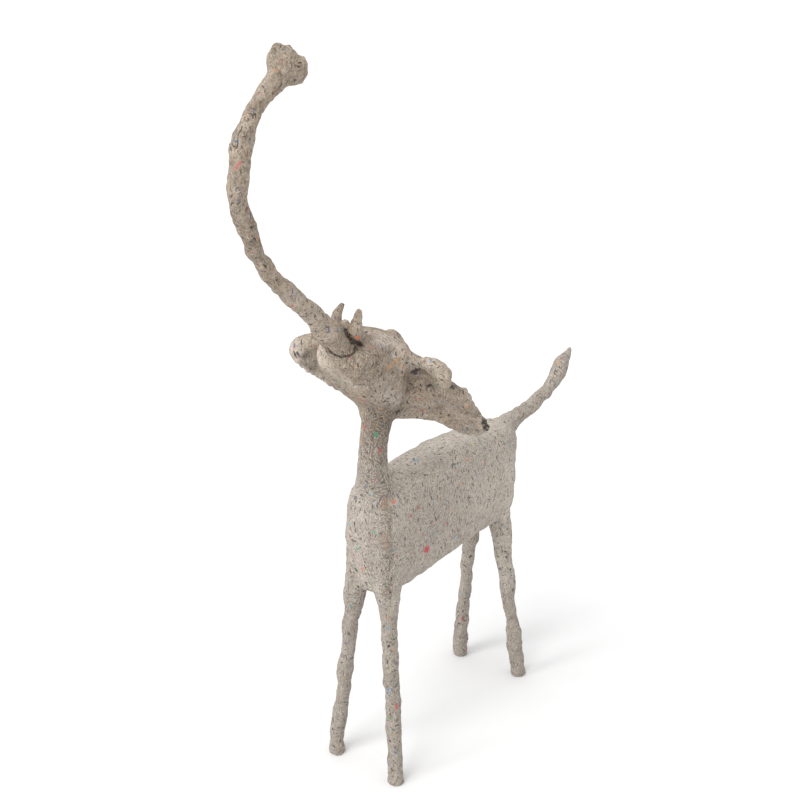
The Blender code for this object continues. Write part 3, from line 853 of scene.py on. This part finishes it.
# Painted shade: the stored dark number darkens the skin where shade falls, partly as darker pulp.
dark = maths(tree, "MULTIPLY", stored("dark"), spread(mottled, 0.35, 0.65, 1.1, 0.75))
skin_colour = mix(pale, skin_colour, PALER)
skin_colour = mix(dark, skin_colour, DARKER, "MULTIPLY")
print("Cloudy pulp is mixed, with", len(WARM_CLOUDS), "kinds of cloud in the warm pulp")

# %% Lay the fibres over it
FLOW_SIZE, FLOW_STRENGTH, MAIN_WAY = 17, (4.0, 4.0, 4.0), (0.1, 0.15, 0.45)
WARP_SIZE, WARP_REACH = 3.4, (3.2, 3.2, 3.2)


def group_node(group, values):
    node = tree.nodes.new("ShaderNodeGroup")
    node.node_tree = group
    for name, value in values.items():
        if isinstance(value, bpy.types.NodeSocket):
            tree.links.new(value, node.inputs[name])
        else:
            node.inputs[name].default_value = value
    return node.outputs


flow = vectors(tree, "MULTIPLY_ADD", noise_way(FLOW_SIZE, 1.0), FLOW_STRENGTH, MAIN_WAY)
warped = vectors(tree, "ADD", place, vectors(tree, "MULTIPLY", noise_way(WARP_SIZE, 1.5), WARP_REACH))


def fibres(cell, length, width, bend, share, shift):
    return group_node(FIBRES, {"Place": warped, "Facing": facing, "Cell": cell, "Length": length,
                               "Width": width, "Bend": bend, "Share": share, "Shift": shift, "Flow": flow})


LAYER_SHIFT = 31.0  # keeps the layers' cells apart from each other
FIBRE_LAYERS = (
    # cell, length, width, bend, share, strength, how much the calm pulp hides, colour
    (3.2, 5.4, 1.00, 0.06, 0.95, 0.70, 0.56, (0.64, 0.575, 0.505, 1)),
    (2.7, 3.8, 0.80, 0.08, 0.80, 0.56, 0.15, (0.18, 0.155, 0.132, 1)),
    (2.0, 3.6, 0.80, 0.10, 0.80, 0.64, 0.36, (0.64, 0.575, 0.505, 1)),
    (1.8, 2.6, 0.75, 0.12, 0.50, 0.55, 0.00, (0.15, 0.128, 0.108, 1)),
    (3.4, 3.8, 1.05, 0.10, 0.32, 0.88, -0.20, (0.09, 0.076, 0.066, 1)),
    (6.5, 4.6, 1.70, 0.08, 0.36, 0.96, -0.15, (0.06, 0.054, 0.05, 1)),
)
masks = []
for number, (cell, length, width, bend, share, strength, hidden, tone) in enumerate(FIBRE_LAYERS):
    mask = fibres(cell, length, width, bend, share, LAYER_SHIFT * number)["Mask"]
    masks.append(mask)
    amount = maths(tree, "MULTIPLY", mask, maths(tree, "MULTIPLY_ADD", calm, -hidden, strength))
    skin_colour = mix(amount, skin_colour, tone)
print("Fibre layers:", len(FIBRE_LAYERS))

# %% Scatter small flecks of coloured paper
SCATTERED = ((185, 85, 90), (90, 125, 160), (85, 145, 125), (205, 140, 105), (80, 84, 112), (170, 120, 130),
             (110, 150, 165), (130, 105, 82), (196, 164, 110), (105, 96, 128))
SCATTER_STRENGTH = 0.9
scatter = fibres(cell=7.5, length=4.0, width=1.5, bend=0.05, share=0.36, shift=201.0)
ramp = tree.nodes.new("ShaderNodeValToRGB")
ramp.color_ramp.interpolation = "CONSTANT"
while len(ramp.color_ramp.elements) < len(SCATTERED):
    ramp.color_ramp.elements.new(0.5)
for number, (element, tone) in enumerate(zip(ramp.color_ramp.elements, SCATTERED)):
    element.position = number / len(SCATTERED)
    element.color = colour(*tone)
tree.links.new(scatter["Pick"], ramp.inputs["Fac"])
skin_colour = mix(maths(tree, "MULTIPLY", scatter["Mask"], SCATTER_STRENGTH), skin_colour, ramp.outputs["Color"])
print("Colours of scattered flecks:", len(SCATTERED))

# %% Add soot and the painted shade in the ear's pit and the creases
# Near black, both for the soot and for the painted shade in the ear's pit and the creases.
SOOT_AND_SHADE_BLACK = (0.055, 0.05, 0.046, 1)
BLOTCH_SIZE, BLOTCH_STRENGTH = 2.8, 3.6

stored_soot_and_shade = stored("soot_and_crease_shade")
blotch = maths(tree, "MULTIPLY_ADD", noise(BLOTCH_SIZE, 2.0, 0.6, 14.0), BLOTCH_STRENGTH, -BLOTCH_STRENGTH / 2)
uneven = spread(maths(tree, "ADD", stored_soot_and_shade, maths(tree, "MULTIPLY", blotch, stored_soot_and_shade)), 0.38, 0.75)
skin_colour = mix(uneven, skin_colour, SOOT_AND_SHADE_BLACK)
print("Soot is read from the skin")

# %% [markdown]
# The larger flecks and the stains come from lists: the place, the way it lies, its length and width in
# millimetres, and its colour on a screen. A crease's shadow is a row of such marks along its line.

# %% List the creases' shadows, the larger flecks and the stains
UP, ALONG, ACROSS = (0, 0, 1), (0, 1, 0), (1, 0, 0)
FLECKS = (
    ((33, 64, 250), (0, 0.25, 1), 8, 9, (200, 70, 88)),
    ((26, 15, 322), (0.3, 1, 0.4), 5.5, 3, (222, 120, 90)),
    ((33, 47, 305), (0, 1, 0.5), 6.5, 2.4, (186, 88, 92)),
    ((33, 34, 291), (0, 0.4, 1), 3, 4, (150, 172, 145)),
    ((33, 34, 301), UP, 4.5, 2.4, (196, 100, 98)),
    ((12, 0, 289), (1, 0, -0.4), 6.5, 2.6, (105, 165, 125)),
    ((13, 0, 291), (0.3, 0, 1), 4, 1.6, (105, 165, 125)),
    ((-9, 0, 265), ACROSS, 6, 1.8, (85, 155, 115)),
    ((63, 37, 448), (1, 0, 0.3), 4.2, 2.8, (60, 145, 100)),
    ((9, 8, 393), UP, 6, 3.6, (75, 145, 110)),
    ((14, -42, 501), UP, 2.5, 2, (90, 150, 110)),
    ((33, 71, 263), ALONG, 4.5, 1.4, (90, 120, 170)),
    ((33, 117, 243), (0, 1, 0.3), 6, 2.2, (85, 130, 175)),
    ((4, 83, 338), (0.6, 1, 0), 7.5, 3, (110, 160, 180)),
    ((29, 121, 327), (0, 1, -0.4), 7, 2.2, (75, 115, 118)),
    ((63, 25, 476), UP, 4, 3, (120, 150, 180)),
    ((11, -64, 519), UP, 4, 1.8, (80, 92, 150)),
    ((-84, -3, 471), UP, 5, 3, (90, 108, 140)),
    ((-80, -3, 463), (0, 1, -1), 5, 3, (66, 68, 80)),
    ((-85, -4, 467), ALONG, 4, 1.6, (205, 130, 140)),
    ((7, 3, 330), (1, 0, -0.5), 4, 3.6, (150, 178, 178)),
    ((-14, 3, 320), (0.5, 0, 1), 5.5, 2.0, (95, 88, 132)),
    ((-19, -1, 290), (1, 0, 0.5), 4, 2.6, (140, 165, 190)),
    ((22, -36, 506), (0.4, 1, 0), 6.5, 3.4, (208, 105, 72)),
    ((84, 55, 426), UP, 5, 5, (196, 150, 118)),
    ((13, 9, 376), UP, 5.5, 2.4, (190, 75, 85)),
    ((-4, 6, 398), UP, 4.2, 3.0, (196, 88, 82)),
    ((4, -7, 431), (0.5, 0, -1), 7.5, 2.6, (196, 70, 90)),
    ((27, -20, 493), ALONG, 5.5, 1.6, (205, 130, 130)),
    ((15, -4, 501), ALONG, 4.5, 3, (185, 115, 105)),
    ((4, -105, 549), UP, 3, 2.2, (190, 95, 90)),
    ((5, -167, 679), (0, 1, 0.6), 11, 2.0, (196, 110, 108)),
    ((4, -150, 671), UP, 4, 2.0, (196, 110, 108)),
    ((-2, -2, 245), UP, 5, 2, (208, 120, 95)),
    ((28, 5, 224), ACROSS, 3, 3, (110, 75, 60)),
    ((30, -2, 111), UP, 7, 3, (110, 140, 168)),
    ((39, 1, 93), (0.3, 0, 1), 7, 3, (190, 82, 88)),
    ((34, -4, 80), UP, 4.5, 3.4, (90, 150, 100)),
    ((38, -4, 67), UP, 3.5, 3.4, (85, 115, 115)),
    ((39, -3, 60), UP, 2.5, 3, (190, 165, 100)),
    ((-15, -5, 198), UP, 4, 2.6, (90, 150, 145)),
    ((17, 1, 209), ACROSS, 3, 2.6, (185, 90, 88)),
    ((-32, 240, 61), UP, 5, 3.4, (176, 85, 90)),
    ((30, 147, 324), UP, 3, 5, (214, 150, 105)),
    ((33, 127, 303), UP, 3, 5, (214, 145, 110)),
    ((32, 178, 310), UP, 5, 3, (185, 100, 108)),
    ((33, 103, 265), UP, 3.6, 3.4, (186, 80, 90)),
    ((23, 168, 332), ACROSS, 3, 3, (205, 185, 110)),
)
STAINS = (
    ((21, 7, 322), (0, 0.3, 1), 16, 7, (150, 118, 95)),
    ((25, 2, 283), UP, 20, 6, (156, 126, 104)),
    ((35, -2, 472), (0.4, 1, 0.4), 13, 6, (205, 160, 112)),
    ((34, 9, 474), (0.4, 1, 0), 12, 5, (205, 160, 112)),
    ((36, 15, 467), (0.4, 1, -0.3), 12, 5, (205, 160, 112)),
)
SLIT = ((47, 40, 441), (54, 39, 445))
SHADOW, SHADOW_OVERLAP = (80, 71, 63), 1.6
shadows = []
for line, width in ((MOUTH, 0.8), (TUSK_GAP, 1.9), (SLIT, 1.8), (TRUNK_CRACK, 0.8)):
    for start, end in zip(line[:-1], line[1:]):
        way = Vector(end) - Vector(start)
        shadows.append(((Vector(start) + Vector(end)) / 2, tuple(way), way.length + SHADOW_OVERLAP, width, SHADOW))
print("Shadows along the creases:", len(shadows))

# %% Put them at their places
TORN_SIZE, TORN_REACH = 1.6, 1.8

torn = maths(tree, "MULTIPLY", maths(tree, "SUBTRACT", noise(TORN_SIZE, 1.0, 0.5, 21.0), 0.5), TORN_REACH)
for marks, strength, ragged in ((shadows, 0.9, 0.35), (FLECKS, 0.84, 1.0), (STAINS, 0.42, 2.5)):
    edge = maths(tree, "MULTIPLY", torn, ragged)
    for middle, way, length, width, tone in marks:
        mask = group_node(FLECK, {"Place": place, "Facing": facing, "Ragged": edge,
                                  "Middle": tuple(Vector(middle) + MIDDLE), "Long Way": way,
                                  "Length": length, "Width": width})["Mask"]
        skin_colour = mix(maths(tree, "MULTIPLY", mask, strength), skin_colour, colour(*tone))
print("Placed flecks and stains:", len(FLECKS) + len(STAINS))

# %% [markdown]
# Dried pulp is quite matt. The grain and the fibres also stand up a little, so the same textures feed a Bump
# node, and the constant values sit on the shader itself.

# %% Finish the material
GRAIN_HEIGHT, PALE_FIBRE_HEIGHT, CALM_LOSS, GREY_FIBRE_HEIGHT = 0.3, 0.25, 0.12, -0.18  # shares of a millimetre

fine_grain = maths(tree, "MULTIPLY", noise(1.3, 2.0, 0.5, 30.0), GRAIN_HEIGHT)
tall_fibres = maths(tree, "MULTIPLY", masks[0], maths(tree, "MULTIPLY_ADD", calm, -CALM_LOSS, PALE_FIBRE_HEIGHT))
sunk_fibres = maths(tree, "MULTIPLY", masks[1], GREY_FIBRE_HEIGHT)
height = maths(tree, "ADD", maths(tree, "ADD", fine_grain, tall_fibres), sunk_fibres)
bump = add(tree, "ShaderNodeBump", {"Strength": 0.8, "Distance": MM, "Height": height})
tree.links.new(bump, shader.inputs["Normal"])
tree.links.new(skin_colour, shader.inputs["Base Color"])
tree.links.new(spread(grain, 0.3, 0.7, 0.97, 0.88), shader.inputs["Roughness"])
shader.inputs["Specular IOR Level"].default_value = 0.25
print("The pulp material has", len(tree.nodes), "nodes")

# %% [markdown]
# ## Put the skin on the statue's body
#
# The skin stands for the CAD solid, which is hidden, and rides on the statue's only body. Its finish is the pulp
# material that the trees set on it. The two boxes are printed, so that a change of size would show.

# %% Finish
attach(skin, "root")
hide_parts("elephant")
low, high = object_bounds()
print("The visual box in mm:", [round(1000 * (b - a), 1) for a, b in zip(low, high)])
